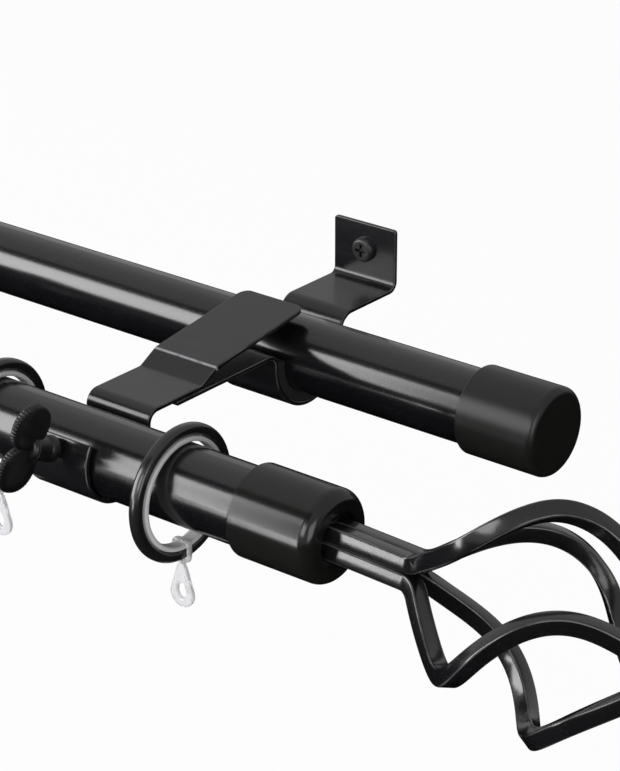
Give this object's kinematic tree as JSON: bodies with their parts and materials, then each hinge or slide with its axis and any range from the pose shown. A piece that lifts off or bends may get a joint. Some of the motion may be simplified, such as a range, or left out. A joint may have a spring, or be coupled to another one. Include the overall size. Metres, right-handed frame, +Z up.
{
  "type": "double curtain pole",
  "caption": "Double curtain pole: rear pole with sliding end sleeves, front pole with rings, eyelets and twisted cage finials, on folded-strap wall brackets.",
  "frame": {"origin": "on the wall, midway between the two brackets, at the height of the wall screws", "axes": "+X along the poles to the right as seen from the room, +Y into the wall, +Z up"},
  "size_m": [1.1482, 0.1944, 0.0767],
  "materials": {
    "pole_black": "gloss",
    "strap_black": "satin",
    "cup_black": "satin",
    "cage_black": "gloss",
    "saddle_black": "matte",
    "wall_screw_black": "satin",
    "thumb_screw_black": "satin",
    "ring_black": "gloss",
    "lining_pale": "satin",
    "eyelet_clear": "gloss"
  },
  "bodies": {
    "frame": {"cage_bar_left_1": "cage_black", "cage_bar_left_2": "cage_black", "cage_bar_left_3": "cage_black", "cage_bar_left_4": "cage_black", "cage_bar_right_1": "cage_black", "cage_bar_right_2": "cage_black", "cage_bar_right_3": "cage_black", "cage_bar_right_4": "cage_black", "cage_tip_left": "cage_black", "cage_tip_right": "cage_black", "finial_cup_left": "cup_black", "finial_cup_right": "cup_black", "front_arm_left": "strap_black", "front_arm_right": "strap_black", "front_pole": "pole_black", "pole_saddle_left": "saddle_black", "pole_saddle_right": "saddle_black", "rear_pole": "pole_black", "rear_strap_left": "strap_black", "rear_strap_right": "strap_black", "wall_screw_left": "wall_screw_black", "wall_screw_right": "wall_screw_black"},
    "sleeve_right": {"rear_sleeve_right": "pole_black", "rear_cap_right": "cup_black"},
    "thumb_right": {"thumb_screw_right": "thumb_screw_black"},
    "sleeve_left": {"rear_sleeve_left": "pole_black", "rear_cap_left": "cup_black"},
    "thumb_left": {"thumb_screw_left": "thumb_screw_black"},
    "ring_1": {"ring_1": "ring_black", "ring_lining_1": "lining_pale", "ring_eyelet_1": "eyelet_clear"},
    "ring_2": {"ring_2": "ring_black", "ring_lining_2": "lining_pale", "ring_eyelet_2": "eyelet_clear"},
    "ring_3": {"ring_3": "ring_black", "ring_lining_3": "lining_pale", "ring_eyelet_3": "eyelet_clear"},
    "ring_4": {"ring_4": "ring_black", "ring_lining_4": "lining_pale", "ring_eyelet_4": "eyelet_clear"},
    "ring_5": {"ring_5": "ring_black", "ring_lining_5": "lining_pale", "ring_eyelet_5": "eyelet_clear"},
    "ring_6": {"ring_6": "ring_black", "ring_lining_6": "lining_pale", "ring_eyelet_6": "eyelet_clear"},
    "ring_7": {"ring_7": "ring_black", "ring_lining_7": "lining_pale", "ring_eyelet_7": "eyelet_clear"},
    "ring_8": {"ring_8": "ring_black", "ring_lining_8": "lining_pale", "ring_eyelet_8": "eyelet_clear"}
  },
  "joints": [
    {"name": "sleeve_right_slide", "type": "slide", "parent": "frame", "child": "sleeve_right", "axis": [1, 0, 0], "range_m": [0, 0.04]},
    {"name": "thumb_right_turn", "type": "hinge", "parent": "frame", "child": "thumb_right", "pos_m": [0.35, -0.1405, -0.0236], "axis": [0, -0.9397, 0.342], "continuous": true},
    {"name": "sleeve_left_slide", "type": "slide", "parent": "frame", "child": "sleeve_left", "axis": [-1, 0, 0], "range_m": [0, 0.04]},
    {"name": "thumb_left_turn", "type": "hinge", "parent": "frame", "child": "thumb_left", "pos_m": [-0.35, -0.1405, -0.0236], "axis": [0, -0.9397, 0.342], "continuous": true},
    {"name": "ring_1_slide", "type": "slide", "parent": "frame", "child": "ring_1", "axis": [1, 0, 0], "range_m": [-0.0192, 0.0272]},
    {"name": "ring_2_slide", "type": "slide", "parent": "frame", "child": "ring_2", "axis": [1, 0, 0], "range_m": [-0.0585, 0.0209]},
    {"name": "ring_3_slide", "type": "slide", "parent": "frame", "child": "ring_3", "axis": [1, 0, 0], "range_m": [-0.059, 0.061]},
    {"name": "ring_4_slide", "type": "slide", "parent": "frame", "child": "ring_4", "axis": [1, 0, 0], "range_m": [-0.0594, 0.06]},
    {"name": "ring_5_slide", "type": "slide", "parent": "frame", "child": "ring_5", "axis": [1, 0, 0], "range_m": [-0.06, 0.0594]},
    {"name": "ring_6_slide", "type": "slide", "parent": "frame", "child": "ring_6", "axis": [1, 0, 0], "range_m": [-0.061, 0.059]},
    {"name": "ring_7_slide", "type": "slide", "parent": "frame", "child": "ring_7", "axis": [1, 0, 0], "range_m": [-0.0209, 0.0585]},
    {"name": "ring_8_slide", "type": "slide", "parent": "frame", "child": "ring_8", "axis": [1, 0, 0], "range_m": [-0.0272, 0.0192]}
  ]
}
